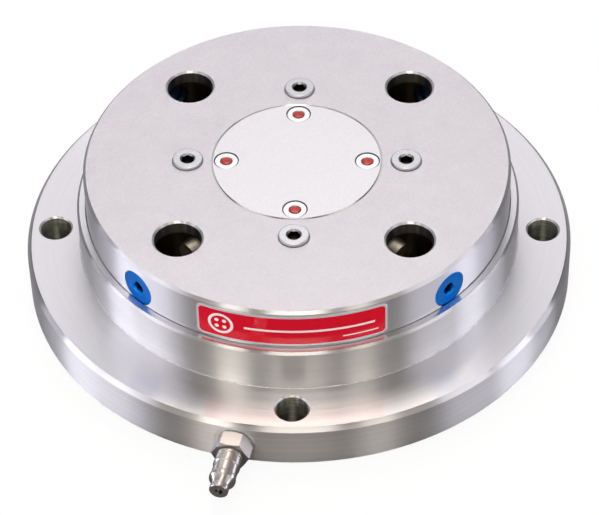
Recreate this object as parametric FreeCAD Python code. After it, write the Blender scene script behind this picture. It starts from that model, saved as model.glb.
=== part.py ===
import FreeCAD
import Part
import math
import os

from FreeCAD import Placement, Rotation, Vector

# Pneumatic quick-change base plate, in millimetres. The origin is the middle of the mounting
# face, +Z points up out of the plate, and the air nipple points to the front, near -Y.
# Springs lock the plate: four pins reach into the stud bores. Air lifts the piston, whose
# sloping slots draw the pins back.

# ---------------------------------------------------------------- driving dimensions

# Mounting flange: the lowest plate, with a pocket for the housing's spigot
flange_ledge_width = 23.0
flange_thickness = 20.5
flange_edge_chamfer = 1.8
flange_bottom_chamfer = 0.8
centring_diameter = 40.0
centring_depth = 4.0
centring_chamfer = 0.8
flange_bolt_from_ring = 11.0
flange_bolt_hole_diameter = 13.5
flange_bolt_hole_chamfer = 0.7
square_count = 4

# Cylinder housing: the ring on the flange, bored for the piston
ring_wall = 3.7
ring_height = 20.5
ring_edge_chamfer = 1.0
ring_foot_chamfer = 0.4
cylinder_diameter = 72.0
cylinder_floor_thickness = 8.0
cylinder_mouth_chamfer = 1.0
spigot_wall = 5.5
spigot_clearance = 0.03
spigot_edge_chamfer = 0.5
spigot_seal_height = 16.0

# Backing disc and clamp body: the disc lies in a shallow recess of the housing and closes the
# stud bores from below, and the body lies on it
recess_depth = 5.5
backing_thickness = 4.0
body_rim_wall = 12.72
body_thickness = 21.0
body_top_chamfer = 1.2
body_bottom_chamfer = 0.5
body_side_gap = 0.3
recess_mouth_chamfer = 0.3

# Stud bores: four bores in a square, with a guiding land at the mouth and relief below it
stud_spacing = 96.0
stud_bore_diameter = 20.0
stud_land_depth = 6.3
stud_relief = 0.4
stud_mouth_chamfer = 0.8

# Lock pins, drawn back by sloping slots in the piston's hub
pin_depth = 12.5
pin_diameter = 11.5
pin_bore_clearance = 0.05
pin_reach = 5.4
pin_release_gap = 0.15
pin_nose_length = 4.3
pin_nose_taper = 0.6
pin_shank_start = 29.0
pin_head_radius_from_axis = 15.0
pin_head_thickness = 4.0
pin_head_width = 9.0
pin_neck_width = 5.0
pin_tongue_height = 5.0
pin_seal_groove_from_tip = 13.0
slot_slope = 0.75
slot_clearance = 0.06

# Piston: a foot, a disc with a seal and a hub
piston_clearance = 0.05
piston_foot_gap = 3.0
piston_foot_height = 4.5
piston_disc_height = 6.0
piston_edge_chamfer = 0.4
hub_diameter = 46.0
hub_clearance = 0.05
hub_top_margin = 0.1
hub_edge_chamfer = 0.5

# Disc springs, stacked in turns between the piston and the body's underside
spring_count = 5
spring_thickness = 1.75
spring_hub_gap = 0.6
spring_wall_gap = 0.7

# Centre cover: closes the hub's bore, flush with the top
cover_to_counterbore = 3.65
cover_thickness = 5.5
cover_side_gap = 0.05
cover_edge_chamfer = 0.42
cover_pocket_gap = 0.5
cover_pocket_headroom = 0.4

# Screws: low heads with hexagon sockets
body_screw_from_spigot = 5.0
body_screw_diameter = 8.0
body_screw_length = 50.0
body_screw_head_diameter = 13.0
body_screw_head_height = 5.0
body_screw_head_proud = 1.25
body_screw_head_edge = 0.65
body_screw_socket = 5.0
body_screw_socket_depth = 3.0
body_screw_counterbore_diameter = 13.5
cover_screw_inset = 6.05
cover_screw_diameter = 6.0
cover_screw_length = 12.0
cover_screw_head_diameter = 9.9
cover_screw_head_height = 4.0
cover_screw_head_sunk = 0.25
cover_screw_head_edge = 0.25
cover_screw_socket = 4.0
cover_screw_socket_depth = 2.2
cover_screw_counterbore_diameter = 10.7
lacquer_dome = 0.25
socket_mouth_chamfer = 0.45
screw_clearance = 0.5
thread_play = 0.05
thread_run_out = 3.0
screw_tip_chamfer = 0.8

# Plugs that close the outer ends of the pin bores
plug_head_diameter = 16.0
plug_head_thickness = 4.2
plug_head_inset = 0.2
plug_head_chamfer = 0.4
plug_head_gap = 0.2
plug_thread_diameter = 14.0
plug_thread_length = 5.5
plug_bore_run_out = 1.0
plug_socket = 5.0
plug_socket_depth = 3.2

# Dowels between housing and body
dowel_diameter = 8.0
dowel_length = 16.0
dowel_inset = 13.0
dowel_chamfer = 0.6

# Rubber rings: the cord's width, its squeezed height and the play beside it
seal_width = 2.0
seal_squeezed = 1.5
seal_side_play = 0.25
seal_wall_clearance = 0.03
seal_corner = 0.35
body_seal_inset = 5.0
cover_seal_inset = 1.5
cover_seal_corner = 0.2
cover_seal_width = 1.2
cover_seal_squeezed = 0.9

# Air port and nipple, on the flange's front side
port_angle = 258.5
port_channel_diameter = 4.0
port_thread_diameter = 9.7
port_thread_depth = 12.0
port_spotface_diameter = 17.5
port_spotface_depth = 0.5
washer_thickness = 1.0
washer_diameter = 14.0
nipple_thread_length = 9.0
nipple_hexagon = 14.0
nipple_hexagon_length = 7.3
nipple_stem_length = 19.2
nipple_stem_radius = 5.4
nipple_step = 0.2
nipple_groove_width = 0.5
nipple_groove_depth = 0.6
nipple_collar_width = 1.0
nipple_rib_start = 4.6
nipple_rib_width = 1.7
nipple_shoulder_start = 10.8
nipple_shoulder_width = 2.6
nipple_waist_radius = 3.75
nipple_nose_radius = 3.95
nipple_nose_length = 2.9
nipple_nose_chamfer = 0.35
nipple_mouth_diameter = 2.9
nipple_chamber_diameter = 6.0
nipple_chamber_depth = 17.0
nipple_mouth_length = 3.0
poppet_diameter = 5.2
poppet_thickness = 2.0
poppet_stem_diameter = 1.2
poppet_stem_inset = 0.7
poppet_seal_thickness = 0.8
poppet_spring_wire = 0.5
poppet_spring_turns = 6

# Label: a thin plate bent round the body's front
label_length = 80.0
label_height = 16.4
label_thickness = 0.25
label_corner_radius = 2.6
label_above_land = 0.9

# ---------------------------------------------------------------- derived sizes

stud_circle_radius = stud_spacing / math.sqrt(2)
stud_bore_radius = stud_bore_diameter / 2
body_radius = stud_circle_radius + stud_bore_radius + stud_relief + body_rim_wall
ring_radius = body_radius + body_side_gap + ring_wall
flange_radius = ring_radius + flange_ledge_width
flange_bolt_circle_radius = ring_radius + flange_bolt_from_ring
cylinder_radius = cylinder_diameter / 2
spigot_radius = cylinder_radius + spigot_wall
body_screw_circle_radius = spigot_radius + body_screw_from_spigot
dowel_circle_radius = body_radius - dowel_inset
body_seal_radius = body_radius - body_seal_inset
land_height = flange_thickness + ring_height
seat_height = land_height - recess_depth
body_bottom = seat_height + backing_thickness
top_height = body_bottom + body_thickness
pin_height = top_height - pin_depth
port_height = flange_thickness / 2

pin_radius = pin_diameter / 2
pin_bore_radius = pin_radius + pin_bore_clearance
pin_tip = stud_circle_radius - stud_bore_radius + pin_reach
pin_travel = pin_reach + pin_release_gap
piston_lift = pin_travel / slot_slope

piston_radius = cylinder_radius - piston_clearance
foot_radius = cylinder_radius - piston_foot_gap
disc_bottom = cylinder_floor_thickness + piston_foot_height
disc_top = disc_bottom + piston_disc_height
hub_radius = hub_diameter / 2
hub_bore_radius = hub_radius + hub_clearance
tongue_top = pin_height + pin_tongue_height / 2
tongue_bottom = pin_height - pin_tongue_height / 2
hub_top = tongue_top + hub_top_margin

cover_seat_radius = (
    body_screw_circle_radius - body_screw_counterbore_diameter / 2 - cover_to_counterbore
)
cover_radius = cover_seat_radius - cover_side_gap
cover_screw_circle_radius = cover_radius - cover_screw_inset
cover_seal_radius = cover_seat_radius - cover_seal_inset
cover_seat_height = top_height - cover_thickness
cover_ceiling = hub_top + piston_lift + cover_pocket_headroom

body_screw_seat = top_height + body_screw_head_proud - body_screw_head_height
cover_screw_seat = top_height - cover_screw_head_sunk - cover_screw_head_height

plug_face = body_radius - plug_head_inset
plug_seat = plug_face - plug_head_thickness
nipple_seat = flange_radius - port_spotface_depth
hexagon_start = nipple_seat + washer_thickness
hexagon_end = hexagon_start + nipple_hexagon_length
nipple_tip = hexagon_end + nipple_stem_length
valve_seat = nipple_tip - nipple_mouth_length

AXIS = Vector(0, 0, 1)
SQUARE_ANGLES = [index * 360 / square_count for index in range(square_count)]
DIAGONAL_ANGLES = {
    "back_right": 45,
    "back_left": 135,
    "front_left": 225,
    "front_right": 315,
}

# ---------------------------------------------------------------- shape helpers


def turned(profile):
    """Solid of revolution about Z from (radius, height) corners. A corner of four numbers
    (radius, height, middle radius, middle height) is reached by an arc."""
    edges = []
    start = Vector(profile[0][0], 0, profile[0][1])
    here = start
    for corner in profile[1:]:
        there = Vector(corner[0], 0, corner[1])
        if len(corner) == 4:
            edges.append(Part.Arc(here, Vector(corner[2], 0, corner[3]), there).toShape())
        else:
            edges.append(Part.LineSegment(here, there).toShape())
        here = there
    if here.distanceToPoint(start) > 1e-6:
        edges.append(Part.LineSegment(here, start).toShape())
    return Part.Face(Part.Wire(edges)).revolve(Vector(0, 0, 0), AXIS, 360)


def rod(radius, bottom, top):
    """Upright cylinder on the Z axis."""
    return Part.makeCylinder(radius, top - bottom, Vector(0, 0, bottom))


def chamfered_hole(radius, bottom, top, chamfer):
    """Cutter for a through hole whose upper mouth is chamfered."""
    return turned([
        (0, bottom - 1),
        (radius, bottom - 1),
        (radius, top - chamfer),
        (radius + chamfer + 1, top + 1),
        (0, top + 1),
    ])


def hexagon(across_flats, bottom, top):
    """Upright hexagonal prism with two flats square to X."""
    corner = across_flats / math.sqrt(3)
    points = []
    for index in range(7):
        angle = math.radians(30 + 60 * index)
        points.append(Vector(corner * math.cos(angle), corner * math.sin(angle), bottom))
    return Part.Face(Part.makePolygon(points)).extrude(Vector(0, 0, top - bottom))


def socket(across_flats, depth, top):
    """Cutter for a hexagon socket that opens upwards, with a countersunk mouth and drilled floor."""
    corner = across_flats / math.sqrt(3)
    mouth = turned([
        (0, top + 1),
        (corner + socket_mouth_chamfer + 1, top + 1),
        (corner - socket_mouth_chamfer, top - 2 * socket_mouth_chamfer),
        (0, top - 2 * socket_mouth_chamfer),
    ])
    return hexagon(across_flats, top - depth, top + 1).fuse(mouth)


def at(shape, radius, angle, height=0.0):
    """Copy of an upright shape, moved out to a place on a circle and turned with it."""
    copy = shape.copy()
    turn = Rotation(AXIS, angle)
    place = Placement(turn.multVec(Vector(radius, 0, height)), turn)
    copy.Placement = place.multiply(copy.Placement)
    return copy


def outward(shape, angle, height):
    """Copy of an upright shape, laid down so that its Z axis points out from the centre line."""
    copy = shape.copy()
    turn = Rotation(AXIS, angle).multiply(Rotation(Vector(0, 1, 0), 90))
    place = Placement(Vector(0, 0, height), turn)
    copy.Placement = place.multiply(copy.Placement)
    return copy


def side_prism(outline, width, angle):
    """Prism from an outline in (distance from the axis, height), as wide on both sides."""
    points = [Vector(distance, -width / 2, height) for distance, height in outline]
    face = Part.Face(Part.makePolygon(points + points[:1]))
    return at(face.extrude(Vector(0, width, 0)), 0, angle)


def flat_ring(radius, bottom, width, height, corner):
    """Rubber ring pressed between a floor and a lid, with its corners drawn in."""
    inner = radius - width / 2
    outer = radius + width / 2
    return turned([
        (inner + corner, bottom),
        (outer - corner, bottom),
        (outer, bottom + corner),
        (outer, bottom + height - corner),
        (outer - corner, bottom + height),
        (inner + corner, bottom + height),
        (inner, bottom + height - corner),
        (inner, bottom + corner),
    ])


def round_ring(inner_radius, outer_radius, centre):
    """Rubber ring pressed between a groove's floor and the wall round it."""
    radius = (inner_radius + outer_radius) / 2
    height = outer_radius - inner_radius
    return flat_ring(radius, centre - seal_width / 2, height, seal_width, seal_corner)


def low_head_screw(diameter, length, head_diameter, head_height, edge, across, depth, seat):
    """Socket screw with a low head that rests on the seat height."""
    shank = diameter / 2
    head = head_diameter / 2
    top = seat + head_height
    tip = seat - length
    slope = math.sqrt(0.5)
    body = turned([
        (0, tip),
        (shank - screw_tip_chamfer, tip),
        (shank, tip + screw_tip_chamfer),
        (shank, seat),
        (head, seat),
        (head, top - edge),
        (head - edge, top, head - edge + edge * slope, top - edge + edge * slope),
        (0, top),
    ])
    return body.cut(socket(across, depth, top))


def save(name, solids):
    """Write one sub-part, made of one or more solids."""
    shape = solids[0] if len(solids) == 1 else Part.makeCompound(solids)
    shape.exportStep(f"parts/{name}.step")
    count = len(shape.Solids)
    print(f"{name}: {count} solid(s), valid {shape.isValid()}, {shape.Volume / 1000:.2f} cm3")


# ---------------------------------------------------------------- flange and housing


def mounting_flange():
    """Round flange with a centring bore below, a pocket above and the air port in its side."""
    centring_radius = centring_diameter / 2
    pocket_radius = spigot_radius + spigot_clearance
    flange = turned([
        (0, centring_depth),
        (centring_radius, centring_depth),
        (centring_radius, centring_chamfer),
        (centring_radius + centring_chamfer, 0),
        (flange_radius - flange_bottom_chamfer, 0),
        (flange_radius, flange_bottom_chamfer),
        (flange_radius, flange_thickness - flange_edge_chamfer),
        (flange_radius - flange_edge_chamfer, flange_thickness),
        (pocket_radius + spigot_edge_chamfer, flange_thickness),
        (pocket_radius, flange_thickness - spigot_edge_chamfer),
        (pocket_radius, cylinder_floor_thickness),
        (0, cylinder_floor_thickness),
    ])
    bolt_hole = chamfered_hole(
        flange_bolt_hole_diameter / 2, 0, flange_thickness, flange_bolt_hole_chamfer
    )
    screw_hole = rod(
        body_screw_diameter / 2 + thread_play,
        body_screw_seat - body_screw_length - thread_run_out,
        flange_thickness + 1,
    )
    cutters = air_port()
    for angle in SQUARE_ANGLES:
        cutters.append(at(bolt_hole, flange_bolt_circle_radius, angle))
        cutters.append(at(screw_hole, body_screw_circle_radius, angle))
    return flange.cut(cutters)


def cylinder_housing():
    """Ring with the piston's cylinder, a spigot below and a recess above for the clamp body."""
    recess_radius = body_radius + body_side_gap
    housing = turned([
        (cylinder_radius, cylinder_floor_thickness),
        (spigot_radius - spigot_edge_chamfer, cylinder_floor_thickness),
        (spigot_radius, cylinder_floor_thickness + spigot_edge_chamfer),
        (spigot_radius, flange_thickness),
        (ring_radius - ring_foot_chamfer, flange_thickness),
        (ring_radius, flange_thickness + ring_foot_chamfer),
        (ring_radius, land_height - ring_edge_chamfer),
        (ring_radius - ring_edge_chamfer, land_height),
        (recess_radius + recess_mouth_chamfer, land_height),
        (recess_radius, land_height - recess_mouth_chamfer),
        (recess_radius, seat_height),
        (cylinder_radius + cylinder_mouth_chamfer, seat_height),
        (cylinder_radius, seat_height - cylinder_mouth_chamfer),
    ])
    groove = rod(
        spigot_radius + 1,
        spigot_seal_height - seal_width / 2 - seal_side_play,
        spigot_seal_height + seal_width / 2 + seal_side_play,
    )
    groove_floor = rod(spigot_seal_inner_radius(), 0, flange_thickness)
    screw_way = rod(body_screw_diameter / 2 + screw_clearance, 0, land_height)
    dowel_hole = rod(dowel_diameter / 2, seat_height - dowel_length / 2, seat_height + 1)
    cutters = [
        groove.cut(groove_floor),
        seal_groove(body_seal_radius, seat_height, seal_width, seal_squeezed),
        outward(rod(port_channel_diameter / 2, 0, ring_radius), port_angle, port_height).common(
            rod(spigot_radius + 1, 0, flange_thickness)
        ),
    ]
    cutters += [at(screw_way, body_screw_circle_radius, angle) for angle in SQUARE_ANGLES]
    cutters += [at(dowel_hole, dowel_circle_radius, angle) for angle in (0, 180)]
    return housing.cut(cutters)


def spigot_seal_inner_radius():
    """Floor of the seal groove round the housing's spigot."""
    return spigot_radius + spigot_clearance - seal_squeezed


def spigot_seal():
    """Rubber ring round the housing's spigot, above the air channel."""
    return round_ring(
        spigot_seal_inner_radius(), spigot_radius + spigot_clearance, spigot_seal_height
    )


def seal_groove(radius, mouth, width, depth):
    """Cutter for a ring groove that opens upwards."""
    outer = radius + width / 2 + seal_side_play
    inner = radius - width / 2 - seal_side_play
    return rod(outer, mouth - depth, mouth + 1).cut(rod(inner, mouth - depth - 1, mouth + 2))


def air_port():
    """Cutters for the way in of the air: spotface, threaded port and channel to the cylinder."""
    spotface = rod(port_spotface_diameter / 2, nipple_seat, flange_radius + 2)
    port = rod(
        port_thread_diameter / 2 + thread_play, nipple_seat - port_thread_depth, flange_radius
    )
    channel = rod(port_channel_diameter / 2, spigot_radius - 1, flange_radius - port_thread_depth)
    return [outward(cutter, port_angle, port_height) for cutter in (spotface, port, channel)]


def locating_dowels():
    """Two dowels, half in the housing and half in the clamp body."""
    radius = dowel_diameter / 2
    bottom = seat_height - dowel_length / 2
    top = seat_height + dowel_length / 2
    dowel = turned([
        (0, bottom),
        (radius - dowel_chamfer, bottom),
        (radius, bottom + dowel_chamfer),
        (radius, top - dowel_chamfer),
        (radius - dowel_chamfer, top),
        (0, top),
    ])
    return [at(dowel, dowel_circle_radius, angle) for angle in (0, 180)]


# ---------------------------------------------------------------- clamp body and cover


def backing_disc():
    """Disc under the clamp body: floor of the stud bores and upper stop of the disc springs."""
    disc = turned([
        (hub_bore_radius + hub_edge_chamfer, seat_height),
        (body_radius - body_bottom_chamfer, seat_height),
        (body_radius, seat_height + body_bottom_chamfer),
        (body_radius, body_bottom),
        (hub_bore_radius, body_bottom),
        (hub_bore_radius, seat_height + hub_edge_chamfer),
    ])
    screw_way = rod(body_screw_diameter / 2 + screw_clearance, seat_height - 1, body_bottom + 1)
    dowel_hole = rod(dowel_diameter / 2, seat_height - 1, body_bottom + 1)
    cutters = [at(screw_way, body_screw_circle_radius, angle) for angle in SQUARE_ANGLES]
    cutters += [at(dowel_hole, dowel_circle_radius, angle) for angle in (0, 180)]
    return disc.cut(cutters)


def clamp_body():
    """Round body with the stud bores, the pin bores and the seat of the centre cover."""
    groove_radius = cover_seat_radius + cover_edge_chamfer
    body = turned([
        (hub_bore_radius, body_bottom),
        (body_radius, body_bottom),
        (body_radius, top_height - body_top_chamfer),
        (body_radius - body_top_chamfer, top_height),
        (groove_radius, top_height),
        (cover_seat_radius, top_height - cover_edge_chamfer),
        (cover_seat_radius, cover_seat_height),
        (hub_bore_radius, cover_seat_height),
    ])
    cutters = [at(stud_bore(), stud_circle_radius, angle) for angle in DIAGONAL_ANGLES.values()]
    cutters += [outward(pin_bore(), angle, pin_height) for angle in DIAGONAL_ANGLES.values()]
    screw_way = rod(body_screw_diameter / 2 + screw_clearance, body_bottom - 1, top_height)
    counterbore = rod(body_screw_counterbore_diameter / 2, body_screw_seat, top_height + 1)
    cover_screw_hole = rod(
        cover_screw_diameter / 2 + thread_play,
        cover_screw_seat - cover_screw_length - thread_run_out,
        cover_seat_height + 1,
    )
    for angle in SQUARE_ANGLES:
        cutters.append(at(screw_way, body_screw_circle_radius, angle))
        cutters.append(at(counterbore, body_screw_circle_radius, angle))
        cutters.append(at(cover_screw_hole, cover_screw_circle_radius, angle))
    for angle in (0, 180):
        dowel_hole = rod(dowel_diameter / 2, body_bottom - 1, seat_height + dowel_length / 2)
        cutters.append(at(dowel_hole, dowel_circle_radius, angle))
    cutters.append(
        seal_groove(cover_seal_radius, cover_seat_height, cover_seal_width, cover_seal_squeezed)
    )
    return body.cut(cutters)


def stud_bore():
    """Cutter for a stud bore: chamfered mouth, guiding land and relief through to the disc."""
    relief_top = top_height - stud_land_depth
    relief_radius = stud_bore_radius + stud_relief
    return turned([
        (0, body_bottom - 1),
        (relief_radius, body_bottom - 1),
        (relief_radius, relief_top),
        (stud_bore_radius, relief_top),
        (stud_bore_radius, top_height - stud_mouth_chamfer),
        (stud_bore_radius + stud_mouth_chamfer + 1, top_height + 1),
        (0, top_height + 1),
    ])


def pin_bore():
    """Cutter for a pin bore, drilled from the side of the body and threaded for its plug."""
    thread_radius = plug_thread_diameter / 2 + thread_play
    thread_start = plug_seat - plug_thread_length - plug_bore_run_out
    head_radius = plug_head_diameter / 2 + plug_head_gap
    return turned([
        (0, hub_radius / 2),
        (pin_bore_radius, hub_radius / 2),
        (pin_bore_radius, thread_start),
        (thread_radius, thread_start + thread_radius - pin_bore_radius),
        (thread_radius, plug_seat),
        (head_radius, plug_seat),
        (head_radius, body_radius + 1),
        (0, body_radius + 1),
    ])


def centre_cover():
    """Flush round cover, hollow below for the hub's lift, with counterbored screw holes."""
    pocket_radius = hub_bore_radius + cover_pocket_gap
    cover = turned([
        (pocket_radius, cover_seat_height),
        (cover_radius, cover_seat_height),
        (cover_radius, top_height - cover_edge_chamfer),
        (cover_radius - cover_edge_chamfer, top_height),
        (0, top_height),
        (0, cover_ceiling),
        (pocket_radius, cover_ceiling),
    ])
    screw_way = rod(cover_screw_diameter / 2 + screw_clearance / 2, cover_seat_height - 1, top_height)
    counterbore = rod(cover_screw_counterbore_diameter / 2, cover_screw_seat, top_height + 1)
    cutters = []
    for angle in SQUARE_ANGLES:
        cutters.append(at(screw_way, cover_screw_circle_radius, angle))
        cutters.append(at(counterbore, cover_screw_circle_radius, angle))
    return cover.cut(cutters)


def body_screws():
    """Four low-head screws that clamp the body and the housing to the flange."""
    screw = low_head_screw(
        body_screw_diameter, body_screw_length, body_screw_head_diameter, body_screw_head_height,
        body_screw_head_edge, body_screw_socket, body_screw_socket_depth, body_screw_seat,
    )
    return [at(screw, body_screw_circle_radius, angle) for angle in SQUARE_ANGLES]


def cover_screws():
    """Four smaller low-head screws that hold the cover."""
    screw = low_head_screw(
        cover_screw_diameter, cover_screw_length, cover_screw_head_diameter,
        cover_screw_head_height, cover_screw_head_edge, cover_screw_socket,
        cover_screw_socket_depth, cover_screw_seat,
    )
    return [at(screw, cover_screw_circle_radius, angle) for angle in SQUARE_ANGLES]


def cover_screw_lacquer():
    """Sealing lacquer that fills the sockets of the cover's screws, domed at the top."""
    top = cover_screw_seat + cover_screw_head_height
    corner = cover_screw_socket / math.sqrt(3)
    ball = (corner ** 2 + lacquer_dome ** 2) / (2 * lacquer_dome)
    filling = hexagon(cover_screw_socket, top - cover_screw_socket_depth, top + lacquer_dome)
    drop = filling.common(Part.makeSphere(ball, Vector(0, 0, top + lacquer_dome - ball)))
    return [at(drop, cover_screw_circle_radius, angle) for angle in SQUARE_ANGLES]


def bore_plugs():
    """Four flat-headed plugs with hexagon sockets, one at the outer end of each pin bore."""
    head = plug_head_diameter / 2
    shank = plug_thread_diameter / 2
    groove_floor = shank - seal_squeezed
    groove_end = plug_seat - seal_width - 2 * seal_side_play
    plug = turned([
        (0, plug_seat - plug_thread_length),
        (shank - plug_head_chamfer, plug_seat - plug_thread_length),
        (shank, plug_seat - plug_thread_length + plug_head_chamfer),
        (shank, groove_end),
        (groove_floor, groove_end),
        (groove_floor, plug_seat),
        (head, plug_seat),
        (head, plug_face - plug_head_chamfer),
        (head - plug_head_chamfer, plug_face),
        (0, plug_face),
    ])
    plug = plug.cut(socket(plug_socket, plug_socket_depth, plug_face))
    return [outward(plug, angle, pin_height) for angle in DIAGONAL_ANGLES.values()]


def bore_plug_seals():
    """Rubber ring under the head of each plug."""
    shank = plug_thread_diameter / 2
    middle = plug_seat - seal_width / 2 - seal_side_play
    ring = round_ring(shank - seal_squeezed, shank + thread_play, middle)
    return [outward(ring, angle, pin_height) for angle in DIAGONAL_ANGLES.values()]


# ---------------------------------------------------------------- lock


def pin_seal_middle():
    """Distance from the plate's axis to the middle of a pin's seal."""
    return pin_tip - pin_seal_groove_from_tip


def lock_pin(angle):
    """Round pin with a tapered nose, a flat neck and a sloping T-head for the hub's slot."""
    groove_floor = pin_bore_radius - seal_wall_clearance - seal_squeezed
    half_groove = seal_width / 2 + seal_side_play
    shank = turned([
        (0, pin_shank_start),
        (pin_radius, pin_shank_start),
        (pin_radius, pin_seal_middle() - half_groove),
        (groove_floor, pin_seal_middle() - half_groove),
        (groove_floor, pin_seal_middle() + half_groove),
        (pin_radius, pin_seal_middle() + half_groove),
        (pin_radius, pin_tip - pin_nose_length),
        (pin_radius - pin_nose_taper, pin_tip),
        (0, pin_tip),
    ])
    neck = side_prism([
        (pin_head_radius_from_axis, tongue_bottom),
        (pin_shank_start + 1, tongue_bottom),
        (pin_shank_start + 1, tongue_top),
        (pin_head_radius_from_axis, tongue_top),
    ], pin_neck_width, angle)
    head = side_prism(slot_band(0, tongue_bottom, tongue_top), pin_head_width, angle)
    return outward(shank, angle, pin_height).fuse([neck, head]).removeSplitter()


def slot_band(clearance, bottom, top):
    """Outline of the sloping band that a pin's T-head fills, widened by a clearance."""
    half = pin_head_thickness / 2 + clearance
    low = pin_head_radius_from_axis + slot_slope * (bottom - pin_height)
    high = pin_head_radius_from_axis + slot_slope * (top - pin_height)
    return [(low - half, bottom), (low + half, bottom), (high + half, top), (high - half, top)]


def lock_pin_seal():
    """Rubber ring in a pin's groove, along Z."""
    outer = pin_bore_radius - seal_wall_clearance
    return round_ring(outer - seal_squeezed, outer, pin_seal_middle())


def drive_piston():
    """Piston with a foot, a sealed disc and a hub cut by four sloping T-slots."""
    groove_middle = disc_bottom + piston_disc_height / 2
    half_groove = seal_width / 2 + seal_side_play
    groove_floor = cylinder_radius - seal_wall_clearance - seal_squeezed
    piston = turned([
        (0, cylinder_floor_thickness),
        (foot_radius, cylinder_floor_thickness),
        (foot_radius, disc_bottom),
        (piston_radius - piston_edge_chamfer, disc_bottom),
        (piston_radius, disc_bottom + piston_edge_chamfer),
        (piston_radius, groove_middle - half_groove),
        (groove_floor, groove_middle - half_groove),
        (groove_floor, groove_middle + half_groove),
        (piston_radius, groove_middle + half_groove),
        (piston_radius, disc_top - piston_edge_chamfer),
        (piston_radius - piston_edge_chamfer, disc_top),
        (hub_radius, disc_top),
        (hub_radius, hub_top - hub_edge_chamfer),
        (hub_radius - hub_edge_chamfer, hub_top),
        (0, hub_top),
    ])
    slot_bottom = tongue_bottom - piston_lift - slot_clearance
    slot_top = hub_top + 1
    cutters = []
    for angle in DIAGONAL_ANGLES.values():
        band = slot_band(slot_clearance, slot_bottom, slot_top)
        cutters.append(side_prism(band, pin_head_width + 2 * slot_clearance, angle))
        neck_way = [
            (slot_band(0, slot_bottom, slot_top)[0][0], slot_bottom),
            (hub_radius + 1, slot_bottom),
            (hub_radius + 1, slot_top),
            (pin_head_radius_from_axis, slot_top),
        ]
        cutters.append(side_prism(neck_way, pin_neck_width + 2 * slot_clearance, angle))
    return piston.cut(cutters)


def piston_seal():
    """Rubber ring round the piston's disc."""
    outer = cylinder_radius - seal_wall_clearance
    return round_ring(outer - seal_squeezed, outer, disc_bottom + piston_disc_height / 2)


def disc_springs():
    """Stack of coned discs, laid in turns the one way up and the other."""
    inner = hub_radius + spring_hub_gap
    outer = cylinder_radius - spring_wall_gap
    pitch = (seat_height - disc_top) / spring_count
    cone = pitch - spring_thickness
    discs = []
    for index in range(spring_count):
        bottom = disc_top + index * pitch
        inner_rise = cone if index % 2 == 0 else 0
        outer_rise = cone - inner_rise
        discs.append(turned([
            (inner, bottom + inner_rise),
            (outer, bottom + outer_rise),
            (outer, bottom + outer_rise + spring_thickness),
            (inner, bottom + inner_rise + spring_thickness),
        ]))
    return discs


# ---------------------------------------------------------------- air nipple


def nipple_body():
    """Plug nipple: thread, hexagon and turned stem, bored for its valve."""
    thread = port_thread_diameter / 2
    stem = nipple_stem_radius
    passage = port_channel_diameter / 2
    corner = nipple_hexagon / math.sqrt(3)
    flat = nipple_hexagon / 2
    trim = turned([
        (0, hexagon_start),
        (flat, hexagon_start),
        (corner + 0.1, hexagon_start + (corner + 0.1 - flat) / 2),
        (corner + 0.1, hexagon_end - (corner + 0.1 - flat) / 2),
        (flat, hexagon_end),
        (0, hexagon_end),
    ])
    nut = hexagon(nipple_hexagon, hexagon_start, hexagon_end).common(trim)
    thread_end = nipple_seat - nipple_thread_length
    collar = hexagon_end + nipple_groove_width
    collar_end = collar + nipple_step + nipple_collar_width
    rib = hexagon_end + nipple_rib_start
    rib_end = rib + nipple_rib_width
    shoulder = hexagon_end + nipple_shoulder_start
    shoulder_end = shoulder + nipple_shoulder_width
    nose = nipple_tip - nipple_nose_length
    core = turned([
        (0, thread_end),
        (thread - screw_tip_chamfer, thread_end),
        (thread, thread_end + screw_tip_chamfer),
        (thread, hexagon_end),
        (stem - nipple_groove_depth, hexagon_end),
        (stem - nipple_groove_depth, collar),
        (stem + nipple_step, collar + nipple_step),
        (stem + nipple_step, collar_end),
        (stem - nipple_step / 2, collar_end + nipple_step),
        (stem, collar_end + 2 * nipple_step),
        (stem, rib),
        (stem + nipple_step, rib + 2 * nipple_step),
        (stem + nipple_step, rib_end - 2 * nipple_step),
        (stem - nipple_step, rib_end),
        (stem - nipple_step, shoulder),
        (stem + nipple_step / 2, shoulder + 5 * nipple_step),
        (stem, shoulder_end, stem + nipple_step / 2, shoulder_end - 2 * nipple_step),
        (nipple_waist_radius, nose, stem - 4.5 * nipple_step, shoulder_end + 6 * nipple_step),
        (nipple_nose_radius, nose + 5 * nipple_step),
        (nipple_nose_radius, nipple_tip - nipple_nose_chamfer),
        (nipple_nose_radius - nipple_nose_chamfer, nipple_tip),
        (0, nipple_tip),
    ])
    chamber_floor = valve_seat - nipple_chamber_depth
    bore = turned([
        (0, thread_end - 1),
        (passage, thread_end - 1),
        (passage, chamber_floor),
        (nipple_chamber_diameter / 2, chamber_floor),
        (nipple_chamber_diameter / 2, valve_seat),
        (nipple_mouth_diameter / 2, valve_seat),
        (nipple_mouth_diameter / 2, nipple_tip + 1),
        (0, nipple_tip + 1),
    ])
    return outward(core.fuse(nut).cut(bore), port_angle, port_height)


def nipple_washer():
    """Sealing washer between the nipple's hexagon and the spotface."""
    ring = rod(washer_diameter / 2, nipple_seat, hexagon_start)
    hole = rod(port_thread_diameter / 2, nipple_seat - 1, hexagon_start + 1)
    return outward(ring.cut(hole), port_angle, port_height)


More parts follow.
